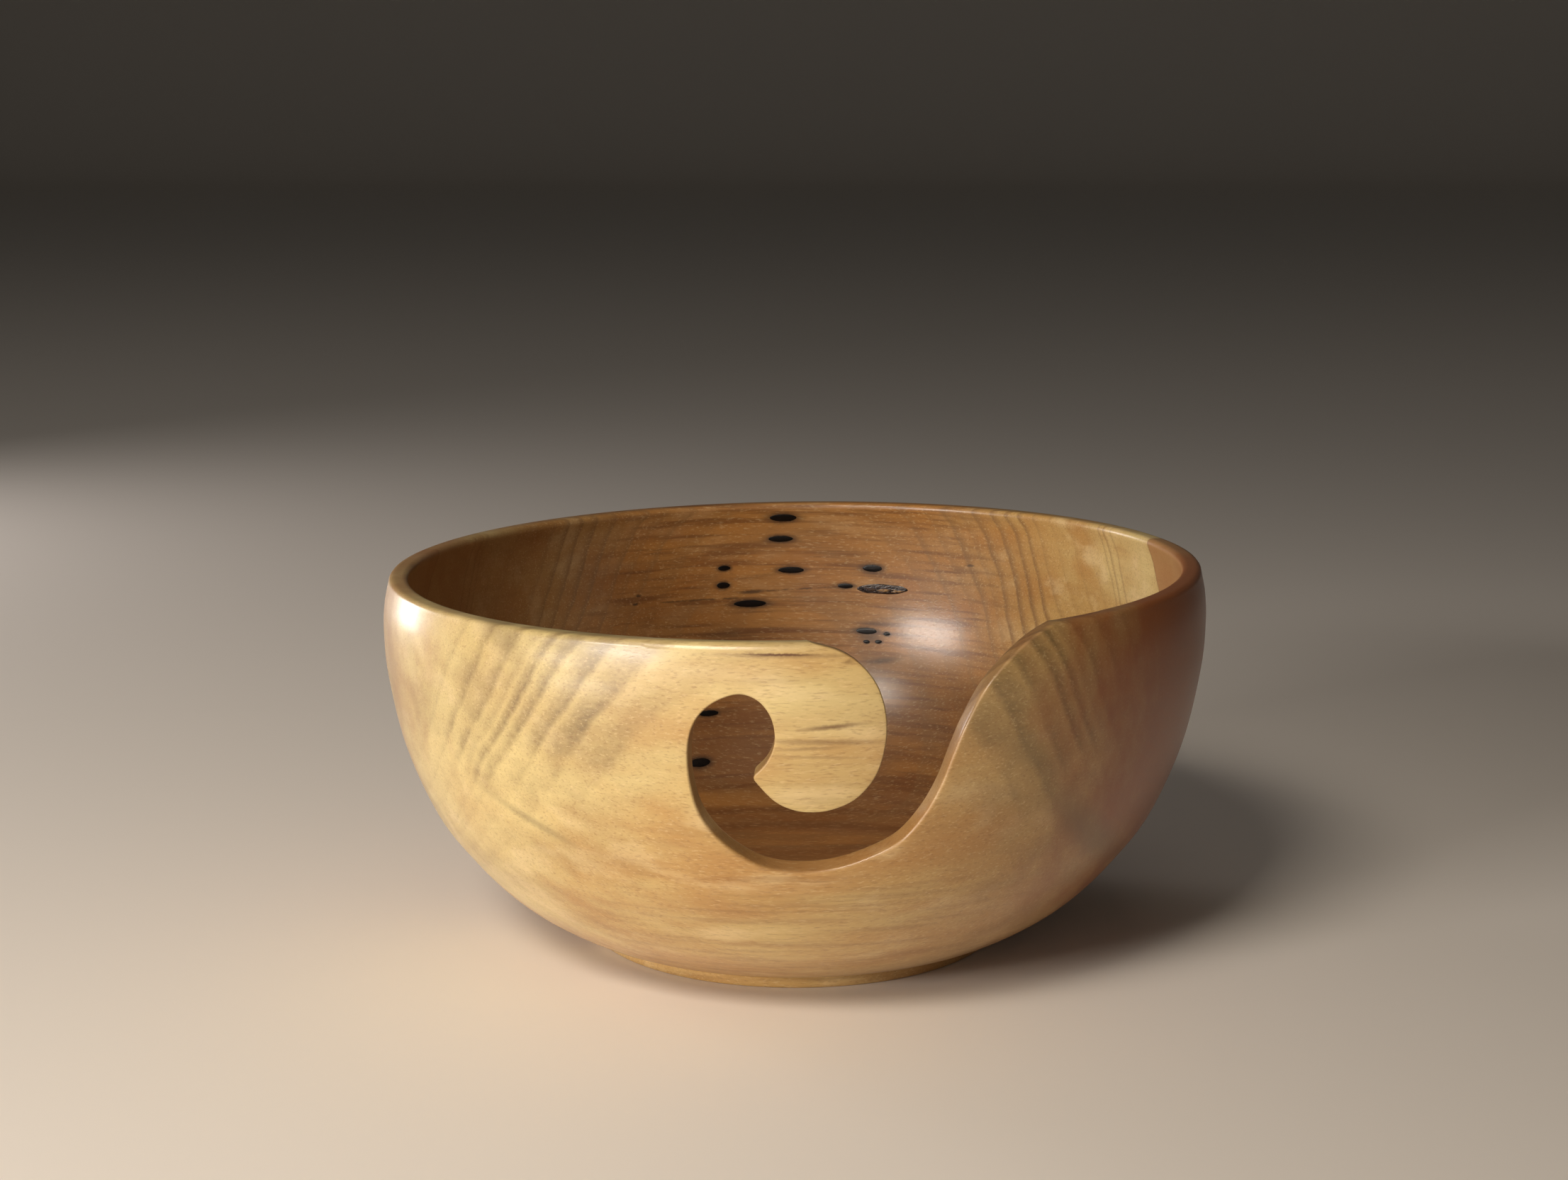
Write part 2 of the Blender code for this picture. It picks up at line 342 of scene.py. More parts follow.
outer_rows = rounded_edge(board(entry), board(hole_outside), inward)
inner_rows = rounded_edge(board(leaving), board(hole_inside), -inward)[::-1]
face_shares = np.linspace(0, 1, FACE_STEPS + 1)[1:-1]
face_rows = [outer_rows[-1] + (inner_rows[0] - outer_rows[-1]) * s for s in face_shares]
strip = np.array(outer_rows + face_rows + inner_rows)
print(f"the lining has {strip.shape[0]} rows of {strip.shape[1]} points")

# %% [markdown]
# The wall is a regular grid, except in a window round the slot. There a finer pattern of points
# takes over, and a constrained Delaunay triangulation ties them to the edge of the hole. It keeps
# each edge of the loop it is given, so the wall and the strip share vertices.

# %% Lay the grid of the wall
SIDES = 300
WALL_STEP = 2.1  # between rows, on the wall
FINE_STEP = 0.7  # and over the lip and the foot
WINDOW_ACROSS = (-36.0, 78.0)
WINDOW_HEIGHT = 32.0  # the window's lowest row, outside and inside
WINDOW_STEP = 1.25
CLEAR_OF_EDGE = 0.62  # share of the step by which its points keep clear of the slot


def row_places():
    """Distances along the section of the grid's rows, closer where the section bends sharply."""
    bends = np.array([(RECESS_RADIUS, 0.0), (FOOT_RADIUS, 0.0), (FOOT_RADIUS, FOOT_HEIGHT),
                      (lip_outer[0], RIM_HEIGHT), (lip_inner[0], RIM_HEIGHT)])
    rows = [0.0]
    while rows[-1] < section_length:
        here = on_section(np.array([rows[-1]]))
        near = np.linalg.norm(bends - here, axis=1).min()
        step = FINE_STEP if near < 6 * FINE_STEP else WALL_STEP
        rows.append(rows[-1] + step)
    return np.array(rows[:-1] + [section_length])


rows = row_places()
columns = (np.arange(SIDES + 1) / SIDES - 0.5) * math.tau * WIDEST_RADIUS
row_heights = on_section(rows)[:, 1]
high_rows = np.where((row_heights > WINDOW_HEIGHT) & (on_section(rows)[:, 0] > FOOT_RADIUS))[0]
window_rows = (high_rows[0], high_rows[-1])
window_columns = np.searchsorted(columns, WINDOW_ACROSS)
print(f"{len(rows)} rows of {SIDES} points, window {window_rows} by {tuple(window_columns)}")

# %% Fill the window round the slot
def inside_loop(points, loop):
    """Which points lie inside a closed loop, by counting the edges to their right."""
    x, y = points[:, 0][:, None], points[:, 1][:, None]
    x0, y0 = loop[:, 0], loop[:, 1]
    x1, y1 = np.roll(x0, -1), np.roll(y0, -1)
    crosses = (y0 > y) != (y1 > y)
    with np.errstate(divide="ignore", invalid="ignore"):
        reach = x0 + (y - y0) * (x1 - x0) / (y1 - y0)
    return (crosses & (x < reach)).sum(axis=1) % 2 == 1


def gap_to_loop(points, loop):
    """Distance from each point to the nearest point of a loop."""
    return np.array([np.linalg.norm(loop - point, axis=1).min() for point in points])


low, high = (rows[i] for i in window_rows)
left, right = (columns[i] for i in window_columns)
frame_loop = [(columns[i], low) for i in range(window_columns[0], window_columns[1])]
frame_loop += [(right, rows[i]) for i in range(window_rows[0], window_rows[1])]
frame_loop += [(columns[i], high) for i in range(window_columns[1], window_columns[0], -1)]
frame_loop += [(left, rows[i]) for i in range(window_rows[1], window_rows[0], -1)]
frame_loop = np.array(frame_loop)
lattice = []
for number, level in enumerate(np.arange(low + WINDOW_STEP, high - WINDOW_STEP / 2, WINDOW_STEP)):
    shift = WINDOW_STEP / 2 * (number % 2)
    for place in np.arange(left + WINDOW_STEP + shift, right - WINDOW_STEP / 2, WINDOW_STEP):
        lattice.append((place, level))
lattice = np.array(lattice)
lattice = lattice[~inside_loop(lattice, hole_loop)]
lattice = lattice[gap_to_loop(lattice, hole_loop) > CLEAR_OF_EDGE * WINDOW_STEP]
flat = np.vstack((frame_loop, hole_loop, lattice))


def loop_edges(start, size):
    """The edges that close a run of points into a loop."""
    return [(start + i, start + (i + 1) % size) for i in range(size)]


kept_edges = loop_edges(0, len(frame_loop)) + loop_edges(len(frame_loop), len(hole_loop))
made = delaunay_2d_cdt([Vector(p) for p in flat], kept_edges, [], 0, 1e-7, True)
flat_points, window_faces = np.array([tuple(p) for p in made[0]]), made[2]
middles = np.array([flat_points[list(face)].mean(axis=0) for face in window_faces])
in_wood = ~inside_loop(middles, hole_loop)
window_faces = [face for face, kept in zip(window_faces, in_wood) if kept]
print(f"{len(flat_points)} points and {len(window_faces)} faces round the slot")

# %% Join the wall and the lining on the board
MERGE = 1e-3  # millimetres between points that are one and the same


def quads(start, row_count, row_length):
    """Faces between rows of points, as an array of rows of faces."""
    place = np.arange(row_count * row_length).reshape(row_count, row_length) + start
    return np.stack((place[:-1, :-1], place[:-1, 1:], place[1:, 1:], place[1:, :-1]), axis=2)


grid = np.array([(column, row) for row in rows for column in columns])
points = np.vstack((board(grid), board(flat_points), strip.reshape(-1, 3)))
grid_faces = quads(0, len(rows), len(columns))
outside_window = np.ones((len(rows) - 1, SIDES), bool)
outside_window[slice(*window_rows), slice(*window_columns)] = False
strip_faces = quads(len(grid) + len(flat_points), *strip.shape[:2])
faces = grid_faces[outside_window].tolist()
faces += [[len(grid) + index for index in face] for face in window_faces]
faces += strip_faces.reshape(-1, 4).tolist()
lip_along = along_grid[len(section_height) - 1 - int(np.argmax(section_height[::-1]))]
depths = np.repeat(np.linspace(0, 1, strip.shape[0]), strip.shape[1])
inner_side = np.concatenate((grid[:, 1] > lip_along, flat_points[:, 1] > lip_along, depths))
cut_face = np.concatenate((np.zeros(len(grid) + len(flat_points)), np.sin(math.pi * depths)))
used = sorted({index for face in faces for index in face})
renumbered = {old: new for new, old in enumerate(used)}
board_mesh = bpy.data.meshes.new("unrolled_bowl")
board_mesh.from_pydata(points[used].tolist(), [], [[renumbered[i] for i in face] for face in faces])
for label, values in (("inner_side", inner_side), ("cut_face", cut_face)):
    mark = board_mesh.attributes.new(label, 'FLOAT', 'POINT')
    mark.data.foreach_set("value", values[used].astype(np.float32))
unrolled = bpy.data.objects.new("unrolled_bowl", board_mesh)
bpy.context.scene.collection.objects.link(unrolled)
print(f"the board has {len(used)} points and {len(faces)} faces")

# %% [markdown]
# ## Turning the board round the axis
# A lathe makes the bowl round, and here Geometry Nodes do. The Screw modifier could sweep the
# plain section, but not a wall with a slot in it. The tree reads each point's place on the board:
# across becomes an angle, and the radius and the height stay. The wood moved a little as it
# dried, so one side of the rim stands higher, and the input Rim Warp tilts it. The board's two
# ends then meet at the back and are merged, and so are the points that fall on the axis.
#
# `add_node` is the one helper for every tree and material below: it makes a node, sets its
# properties and its inputs, and links whatever node or socket is handed to it.

# %% A helper that adds a node
MATH = 'ShaderNodeMath'
VECTOR = 'ShaderNodeVectorMath'
STEP = 'ShaderNodeMapRange'
SMOOTH = {"interpolation_type": 'SMOOTHSTEP'}


def add_node(tree, kind, inputs=(), operation=None, **settings):
    """Adds a node, sets its operation and other properties, and fills its inputs.

    A tuple fills the sockets in use in their order, and a dict fills sockets by name. A node as a
    value stands for its first output in use.
    """
    node = tree.nodes.new(kind)
    if operation:
        node.operation = operation
    for name, value in settings.items():
        setattr(node, name, value)
    in_use = [socket for socket in node.inputs if socket.enabled]
    by_name = isinstance(inputs, dict)
    for key, value in inputs.items() if by_name else enumerate(inputs):
        socket = node.inputs[key] if by_name else in_use[key]
        if isinstance(value, bpy.types.Node):
            value = next(output for output in value.outputs if output.enabled)
        if isinstance(value, bpy.types.NodeSocket):
            tree.links.new(value, socket)
        else:
            socket.default_value = value
    return node


def new_geometry_tree(name, sizes):
    """A Geometry Nodes tree with a geometry input and named number inputs."""
    tree = bpy.data.node_groups.new(name, 'GeometryNodeTree')
    face = tree.interface
    face.new_socket("Geometry", in_out='INPUT', socket_type='NodeSocketGeometry')
    for size in sizes:
        face.new_socket(size, in_out='INPUT', socket_type='NodeSocketFloat')
    face.new_socket("Geometry", in_out='OUTPUT', socket_type='NodeSocketGeometry')
    return tree


def run_tree(piece, tree, values, name):
    """Sets a tree's inputs by socket identifier, and returns its result as a plain mesh object."""
    modifier = piece.modifiers.new(name, 'NODES')
    modifier.node_group = tree
    for item in tree.interface.items_tree:
        if item.in_out == 'INPUT' and item.name in values:
            modifier[item.identifier] = values[item.name]
    seen = piece.evaluated_get(bpy.context.evaluated_depsgraph_get())
    mesh = bpy.data.meshes.new_from_object(seen)
    piece.modifiers.remove(modifier)
    mesh.name = name
    made_piece = bpy.data.objects.new(name, mesh)
    bpy.context.scene.collection.objects.link(made_piece)
    return made_piece


def end_tree(tree, shape, material):
    """Ends a tree with a smooth, real mesh of one material."""
    add = partial(add_node, tree)
    smooth = add('GeometryNodeSetShadeSmooth', {"Geometry": shape})
    real = add('GeometryNodeRealizeInstances', {"Geometry": smooth})
    finished = add('GeometryNodeSetMaterial', {"Geometry": real, "Material": material})
    add('NodeGroupOutput', (finished,))
    return tree

# %% The tree that turns the board
def turning_tree(material):
    """Bends a board round Z: across the board becomes an angle at the widest radius."""
    sizes = ("Widest Radius", "Rim Height", "Rim Warp", "Scale", "Merge Distance")
    tree = new_geometry_tree("turn_round_the_axis", sizes)
    add = partial(add_node, tree)
    given = add('NodeGroupInput').outputs
    place = add('GeometryNodeInputPosition')
    across, radius, height = add('ShaderNodeSeparateXYZ', (place,)).outputs

    angle = add(MATH, (across, given["Widest Radius"]), 'DIVIDE')
    sine = add(MATH, (angle,), 'SINE')
    cosine = add(MATH, (angle,), 'COSINE')
    backwards = add(MATH, (cosine, -1.0), 'MULTIPLY')
    x = add(MATH, (radius, sine), 'MULTIPLY')
    y = add(MATH, (radius, backwards), 'MULTIPLY')
    tilt = add(MATH, (given["Rim Warp"], given["Rim Height"]), 'DIVIDE')
    lever = add(MATH, (x, height), 'MULTIPLY')
    lifted = add(MATH, (lever, tilt, height), 'MULTIPLY_ADD')
    turned = add('ShaderNodeCombineXYZ', (x, y, lifted))
    scaled = add(VECTOR, (turned, given["Scale"]), 'SCALE')
    moved = add('GeometryNodeSetPosition', {"Geometry": given["Geometry"], "Position": scaled})
    joined = add('GeometryNodeMergeByDistance',
                 {"Geometry": moved, "Distance": given["Merge Distance"]})
    return end_tree(tree, joined, material)

# %% [markdown]
# ## The wood
# Painted shade also darkens the front towards its right, and the inside of the back wall towards the
# left and low down.
# The wood is wormy soft maple with a clear satin varnish wiped over it. Its yearly rings are
# shells round the pith, which ran along X a little above the bowl. Where a shell cuts the wall
# steeply the rings show as bands, and where it only grazes the wall they spread into broad figure
# and long streaks. The back of the log is browner than the front, a grey-green stain from the
# borers' fungus lies near the front's rim, and both ends have gone reddish brown.
#
# The colour is a stack of layers, each with a share, a place and a tint. The grain is worked out
# from Object coordinates, so it runs through the wood as in a solid block, and the edges of the
# slot show the same rings as the wall beside them.

# %% Helpers for colours and patterns
def linear(hex_colour):
    """An sRGB hex colour as linear RGBA."""
    channels = [int(hex_colour[i:i + 2], 16) / 255 for i in (1, 3, 5)]
    return [c / 12.92 if c <= 0.04045 else ((c + 0.055) / 1.055) ** 2.4 for c in channels] + [1.0]


def new_material(name):
    """An empty material with its node tree."""
    material = bpy.data.materials.new(name)
    material.use_nodes = True
    material.node_tree.nodes.clear()
    return material, material.node_tree


def own_place(tree):
    """Each point's place on its own object, in millimetres."""
    here = add_node(tree, 'ShaderNodeTexCoord').outputs["Object"]
    return add_node(tree, VECTOR, (here, 1 / MM), 'SCALE')


def grain(tree, place, size, limits, shares=(0.0, 1.0), seed=0.0, detail=3.0):
    """Noise in lumps as big along X, Y and Z as size says, from the first share to the second."""
    stretch = tuple(1 / step for step in size)
    where = add_node(tree, VECTOR, (place, stretch, (seed, seed, seed)), 'MULTIPLY_ADD')
    noise = add_node(tree, 'ShaderNodeTexNoise', {"Vector": where, "Scale": 1.0,
                                                  "Detail": detail, "Roughness": 0.56})
    return add_node(tree, STEP, (noise, *limits, *shares), **SMOOTH)


def rippled_skin(tree, height, relief, finish, normals=("Normal",)):
    """Ends a material with a finish over a relief of (strength, depth in millimetres)."""
    bump = add_node(tree, 'ShaderNodeBump', {
        "Strength": relief[0], "Distance": relief[1] * MM, "Height": height})
    finish.update({name: bump for name in normals})
    skin = add_node(tree, 'ShaderNodeBsdfPrincipled', finish)
    add_node(tree, 'ShaderNodeOutputMaterial', (skin,))

# %% Where the rings lie
PITH_Y = -13.3  # the line that the rings go round, along X
PITH_Z = 104.4
RING_SWAY = 1.3  # how far the rings stray from true circles
RING_RIPPLE = 0.35
# Radius of each dark ring from the pith, how dark it is, and how far it fades towards the pith.
# The front and the back of the log were stained differently, so each has its own list.
FRONT_RINGS = (
    (57.0, 0.30, 1.6), (63.0, 0.60, 2.0), (67.7, 0.75, 2.0), (70.4, 0.30, 1.2), (72.7, 0.95, 1.6),
    (75.4, 0.95, 1.7), (79.4, 0.80, 2.4), (83.3, 1.00, 3.0), (87.6, 0.55, 2.6), (92.5, 0.30, 3.0),
    (98.0, 0.35, 3.0), (104.0, 0.35, 3.4),
)
FRONT_EDGE = 0.9  # a ring ends within this much on its outer side
BACK_RINGS = (
    (40.0, 1.00, 0.7), (59.0, 0.55, 0.7), (61.9, 0.65, 0.8), (63.8, 0.45, 0.7), (69.0, 0.14, 1.2),
    (74.0, 0.20, 1.2), (79.0, 0.18, 1.2), (83.5, 0.40, 1.2), (86.9, 0.90, 1.2), (89.9, 1.00, 1.3),
    (92.8, 1.00, 1.4), (96.0, 0.95, 1.3), (98.2, 0.35, 1.1), (100.6, 0.75, 1.2), (103.0, 0.35, 1.2),
    (105.8, 0.55, 1.0), (109.0, 0.30, 2.0), (113.0, 0.40, 2.2), (117.0, 0.40, 2.2),
)
BACK_EDGE = 0.4
RAMP_RINGS = 10  # one colour ramp holds at most 32 stops
RAMP_MARGIN = 4.0
FAINT = 0.04  # what is left of a ring where it has faded


def ring_radius(tree, place):
    """Distance of each point from the pith, with the small wandering of real rings."""
    off_pith = add_node(tree, VECTOR, (place, (0.0, 1.0, 1.0), (0.0, -PITH_Y, -PITH_Z)), 'MULTIPLY_ADD')
    distance = add_node(tree, VECTOR, (off_pith,), 'LENGTH')
    sway = grain(tree, place, (90.0, 40.0, 40.0), (0.2, 0.8), (-RING_SWAY, RING_SWAY), 0.0, 1.0)
    ripple = grain(tree, place, (26.0, 11.0, 11.0), (0.2, 0.8), (-RING_RIPPLE, RING_RIPPLE), 3.0, 2.0)
    swayed = add_node(tree, MATH, (distance, sway), 'ADD')
    return add_node(tree, MATH, (swayed, ripple), 'ADD')


def ring_shade(tree, radius, rings, edge):
    """How dark a list of rings is at each radius, from 0 to 1."""
    shade = 0.0
    for start in range(0, len(rings), RAMP_RINGS):
        group = rings[start:start + RAMP_RINGS]
        inner, outer = group[0][0] - RAMP_MARGIN, group[-1][0] + RAMP_MARGIN
        stops = [(inner, 0.0)]
        for ring, dark, fade in group:
            stops += [(ring - fade, FAINT), (ring, dark), (ring + edge, 0.0)]
        ramp = add_node(tree, 'ShaderNodeValToRGB', (add_node(tree, STEP, (radius, inner, outer)),))
        band = ramp.color_ramp
        band.elements.remove(band.elements[1])
        for number, (place, dark) in enumerate(stops):
            share = (place - inner) / (outer - inner)
            stop = band.elements.new(share) if number else band.elements[0]
            stop.position = share
            stop.color = (dark, dark, dark, 1.0)
        shade = add_node(tree, MATH, (shade, ramp), 'MAXIMUM')
    return shade

# %% [markdown]
# Where the borers' tunnels meet the inside of the back wall they show as dark ovals with a
# stained edge, and hairline cracks run between them. The resin in them is its own piece further
# down. The wood's stains lie in the same places as the part's fills, and a few weaker marks have
# no hole.

# %% Dark marks in the wood
fills = sorted(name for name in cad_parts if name.startswith("borer_hole_fill"))
hole_boxes = [[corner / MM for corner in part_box(name)] for name in fills]
# Marks as (X, height, half length, half width, lean, strength, softness)
HOLE_STAINS = [((low.x + high.x) / 2, (low.z + high.z) / 2, (high.x - low.x) * 0.62,
                (high.z - low.z) * 0.72, 0.0, 0.85, 0.55) for low, high in hole_boxes]
INSIDE_MARKS = (
    (-11.7, 68.3, 3.6, 0.55, 0.06, 0.70, 0.6), (14.6, 69.9, 3.4, 0.8, 0.05, 0.50, 0.6),
    (26.0, 49.4, 4.2, 0.8, 0.14, 0.60, 0.8), (24.0, 59.6, 4.6, 1.2, 0.10, 0.38, 0.9),
    (22.6, 55.6, 3.4, 1.4, 0.0, 0.62, 0.8), (50.6, 78.3, 1.2, 0.35, 0.1, 0.60, 0.6),
    (-44.6, 69.0, 0.8, 0.4, 0.0, 0.75, 0.5), (-45.4, 66.6, 0.7, 0.35, 0.2, 0.75, 0.5),
    (-19.0, 56.3, 6.5, 1.2, 0.02, 0.26, 0.9), (-8.0, 73.0, 8.0, 0.5, 0.10, 0.22, 0.9),
    (18.4, 33.8, 6.0, 0.9, 0.06, 0.40, 0.9), (-23.9, 35.4, 6.5, 0.7, 0.0, 0.45, 0.9),
)
# Cracks as (X from, X to, height at X 0, rise per millimetre, half width, strength)
INSIDE_CRACKS = ((-14.0, 20.0, 68.9, 0.055, 0.20, 0.62), (-40.0, -14.0, 66.6, 0.004, 0.22, 0.62))
OUTSIDE_MARKS = (
    (-3.5, 91.9, 8.0, 0.26, 0.0, 0.95, 0.7), (-2.0, 91.7, 13.0, 0.45, 0.0, 0.45, 0.9),
    (7.6, 76.4, 5.4, 0.45, 0.09, 0.75, 0.9), (6.5, 73.0, 11.0, 0.55, -0.02, 0.42, 0.9),
    (3.0, 71.6, 6.0, 0.35, 0.05, 0.36, 0.9), (11.1, 90.4, 1.0, 0.5, 0.1, 0.50, 0.8),
    (4.0, 69.6, 9.0, 0.30, -0.03, 0.26, 0.9), (-6.0, 86.4, 9.0, 0.6, 0.02, 0.14, 0.9),
)
OUTSIDE_SMEARS = (
    (66.5, 44.0, 15.0, 3.6, -1.35, 0.50, 0.9), (-59.0, 48.3, 8.5, 0.9, -0.45, 0.42, 0.9),
    (52.0, 66.0, 9.0, 3.0, -0.9, 0.30, 0.9), (-66.0, 92.0, 6.0, 2.6, -1.2, 0.40, 0.9),
    (-42.0, 92.0, 12.0, 2.2, 0.0, 0.30, 0.9),
)


def marks_shade(tree, place, marks):
    """The strongest of a list of oval marks at each point."""
    total = 0.0
    for x, height, half_length, half_width, lean, strength, softness in marks:
        # Mapping of type TEXTURE moves the mark to the middle, turns it level and scales it to 1
        local = add_node(tree, 'ShaderNodeMapping', {
            "Vector": place, "Location": (x, 0.0, height),
            "Rotation": (0.0, -math.atan(lean), 0.0), "Scale": (half_length, 1e6, half_width),
        }, vector_type='TEXTURE')
        reach = add_node(tree, VECTOR, (local,), 'LENGTH')
        shade = add_node(tree, STEP, (reach, 1 - softness, 1 + softness, strength, 0.0), **SMOOTH)
        total = add_node(tree, MATH, (total, shade), 'MAXIMUM')
    return total


def cracks_shade(tree, place, cracks):
    """The strongest of a list of long hairlines at each point."""
    add = partial(add_node, tree)
    x, _y, z = add('ShaderNodeSeparateXYZ', (place,)).outputs
    broken = grain(tree, place, (5.0, 4.0, 4.0), (0.38, 0.58), seed=8.0)
    total = 0.0
    for start, end, height, rise, half_width, strength in cracks:
        line = add(MATH, (x, rise, height), 'MULTIPLY_ADD')
        above = add(MATH, (z, line), 'SUBTRACT')
        off_line = add(MATH, (above,), 'ABSOLUTE')
        shade = add(STEP, (off_line, half_width * 0.4, half_width * 1.9, strength, 0.0))
        along = add(MATH, (x, (start + end) / 2), 'SUBTRACT')
        off_middle = add(MATH, (along,), 'ABSOLUTE')
        half = (end - start) / 2
        shade = add(STEP, (off_middle, half * 0.8, half, shade, 0.0))
        total = add(MATH, (total, shade), 'MAXIMUM')
    return add(MATH, (total, broken), 'MULTIPLY')

# %% The colours of the wood
HONEY = linear("#DCC485")  # inner growth, pale under clear varnish
TAN = linear("#C49D5E")  # outer growth
AMBER = linear("#B27A3A")
# Painted shade: the tan that darkens the front towards its shaded right side
SHADED_TAN = linear("#A56829")
ORANGE_BROWN = linear("#9E6022")
PAINTED_SHADE_BROWN = linear("#6E3F1C")
# Painted shade: the brown laid low and to the left inside the back wall, and partly on the sawn face
STREAK_BROWN = linear("#6F4119")
SMOKE = linear("#947548")
RING_BROWN = linear("#86623A")
STAIN = linear("#6E5A38")  # fungus stain, grey green
RED_BROWN = linear("#90491C")
PORE_BROWN = linear("#82562B")
PALE_FLECK = linear("#F0D5A0")
MARK_BROWN = linear("#22140E")
CRACK_BROWN = linear("#5E3517")

# %% Where each colour lies
def ring_share(tree, place, behind, high):
    """The dark rings: smoky and broken up at the front, crisp at the back."""
    add, lumps = partial(add_node, tree), partial(grain, tree, place)
    radius = ring_radius(tree, place)
    smoky = ring_shade(tree, radius, FRONT_RINGS, FRONT_EDGE)
    crisp = ring_shade(tree, radius, BACK_RINGS, BACK_EDGE)
    patches = lumps((22.0, 13.0, 13.0), (0.30, 0.62), (0.35, 1.0), 31.0)
    threads = lumps((7.0, 0.9, 0.9), (0.3, 0.7), (0.6, 1.0), 33.0)
    uneven = lumps((30.0, 16.0, 16.0), (0.3, 0.6), (0.65, 1.0), 35.0)
    for factor in (patches, threads, add(STEP, (high, 0.0, 1.0, 0.42, 1.0))):
        smoky = add(MATH, (smoky, factor), 'MULTIPLY')
    crisp = add(MATH, (crisp, uneven), 'MULTIPLY')
    return radius, add('ShaderNodeMix', (behind, smoky, crisp), data_type='FLOAT')


def wood_layers(tree, place, behind, fleck):
    """Every layer of the wood's colour and of its painted shade as (share, where, colour), from the
    first to the last.
    """
    add, lumps = partial(add_node, tree), partial(grain, tree, place)
    x, _y, z = add('ShaderNodeSeparateXYZ', (place,)).outputs
    in_front = add(MATH, (1.0, behind), 'SUBTRACT')

    # How high a point lies on the log's stained side. The stain's lower edge is ragged.
    ragged = lumps((20.0, 15.0, 15.0), (0.2, 0.8), (-13.0, 13.0), 40.0)
    level = add(MATH, (z, ragged), 'ADD')
    level = add(MATH, (level, add(STEP, (x, 58.0, 90.0, 0.0, 14.0))), 'SUBTRACT')
    high = add(STEP, (level, 50.0, 74.0), **SMOOTH)
    radius, rings = ring_share(tree, place, behind, high)
    crisper = add(STEP, (behind, 0.0, 1.0, 0.50, 0.92))

    # Broad figure: pale near the pith and warmer outwards, in lumps several centimetres long
    figure = lumps((50.0, 16.0, 16.0), (0.2, 0.8), (5.0, 31.0), 1.0)
    figure = add(MATH, (figure, add(STEP, (behind, 0.0, 1.0, 0.0, 32.0))), 'ADD')
    outward = add(MATH, (radius, figure), 'ADD')
    outer_growth = add(STEP, (outward, 98.0, 130.0), **SMOOTH)
    warm = lumps((60.0, 17.0, 17.0), (0.42, 0.66), (0.0, 0.75), 14.0)
    warmer = add(STEP, (outward, 98.0, 150.0, 0.25, 1.0))
    pale = lumps((26.0, 9.0, 9.0), (0.50, 0.70), (0.0, 0.42), 17.0)

    # Streaks along the grain, where the rings only graze the wall
    grazing = add(STEP, (radius, 92.0, 104.0, 0.15, 1.0))
    grazing = add(MATH, (grazing, add(STEP, (behind, 0.0, 1.0, 0.35, 1.0))), 'MULTIPLY')
    bands = lumps((55.0, 16.0, 4.5), (0.44, 0.66), (0.0, 0.70), 29.0)
    streaks = lumps((44.0, 11.0, 1.6), (0.45, 0.68), (0.0, 0.72), 27.0)

    # Smoky blotches, and the fungus stain near the rim of the front, mostly within the rings
    off_middle = add(MATH, (x,), 'ABSOLUTE')
    sides = add(STEP, (off_middle, 22.0, 46.0), **SMOOTH)
    zone = add(MATH, (sides, in_front), 'MULTIPLY')
    smoke = lumps((34.0, 13.0, 13.0), (0.42, 0.72), (0.0, 0.40), 46.0)
    stain = add(MATH, (rings, 0.62, 0.20), 'MULTIPLY_ADD')
    stained = add(MATH, (high, zone), 'MULTIPLY')

    # Painted shade darkens the front towards its right, before the end grain starts. The middle of
    # the back is orange brown, and painted shade darkens the back towards the left and low down.
    shade_to_right = add(STEP, (x, -5.0, 65.0, 0.0, 0.60), **SMOOTH)
    middle = add(STEP, (radius, 84.0, 106.0, 0.0, 0.6), **SMOOTH)
    shade_to_left = add(STEP, (x, -80.0, 0.0, 0.42, 0.0), **SMOOTH)
    shade_low_down = add(STEP, (z, 22.0, 66.0, 0.62, 0.0), **SMOOTH)
    painted_shade = add(MATH, (shade_to_left, shade_low_down), 'MAXIMUM')

    # Both ends of the log have gone red brown. The right end of the back stops at a ring.
    wander = lumps((8.0, 20.0, 20.0), (0.2, 0.8), (-11.0, 11.0), 50.0)
    towards_end = add(MATH, (x, wander), 'ADD')
    left_end = add(STEP, (towards_end, -100.0, -80.0, 0.45, 0.0))
    right_end = add(STEP, (towards_end, 46.0, 84.0, 0.0, 0.85), **SMOOTH)
    heart = add(STEP, (radius, 39.4, 40.4, 0.60, 0.0))
    right_end = add('ShaderNodeMix', (behind, right_end, heart), data_type='FLOAT')
    ends = add(MATH, (left_end, right_end), 'MAXIMUM')

    # Fine fleck, drawn coarser than real pores, keeps the flat areas from looking painted
    pale_fleck = lumps((2.2, 0.45, 0.45), (0.54, 0.74), (0.0, 0.26), 21.0, 2.0)
    # The layers of painted shade are the front's darkening to the right and the back's darkening low
    # and to the left
    return ((outer_growth, 1.0, TAN), (warm, warmer, AMBER), (pale, 1.0, PALE_FLECK),
            (middle, behind, ORANGE_BROWN), (shade_to_right, in_front, SHADED_TAN),
            (painted_shade, behind, PAINTED_SHADE_BROWN), (bands, grazing, AMBER), (streaks, grazing, STREAK_BROWN),
            (smoke, zone, SMOKE), (rings, crisper, RING_BROWN), (stain, stained, STAIN),
            (fleck, 0.36, PORE_BROWN), (pale_fleck, 1.0, PALE_FLECK), (ends, 1.0, RED_BROWN))


CUT_FACE_VARNISH_AND_SHADE = 0.5  # the sawn face drinks more varnish than the rest, and painted shade darkens it further
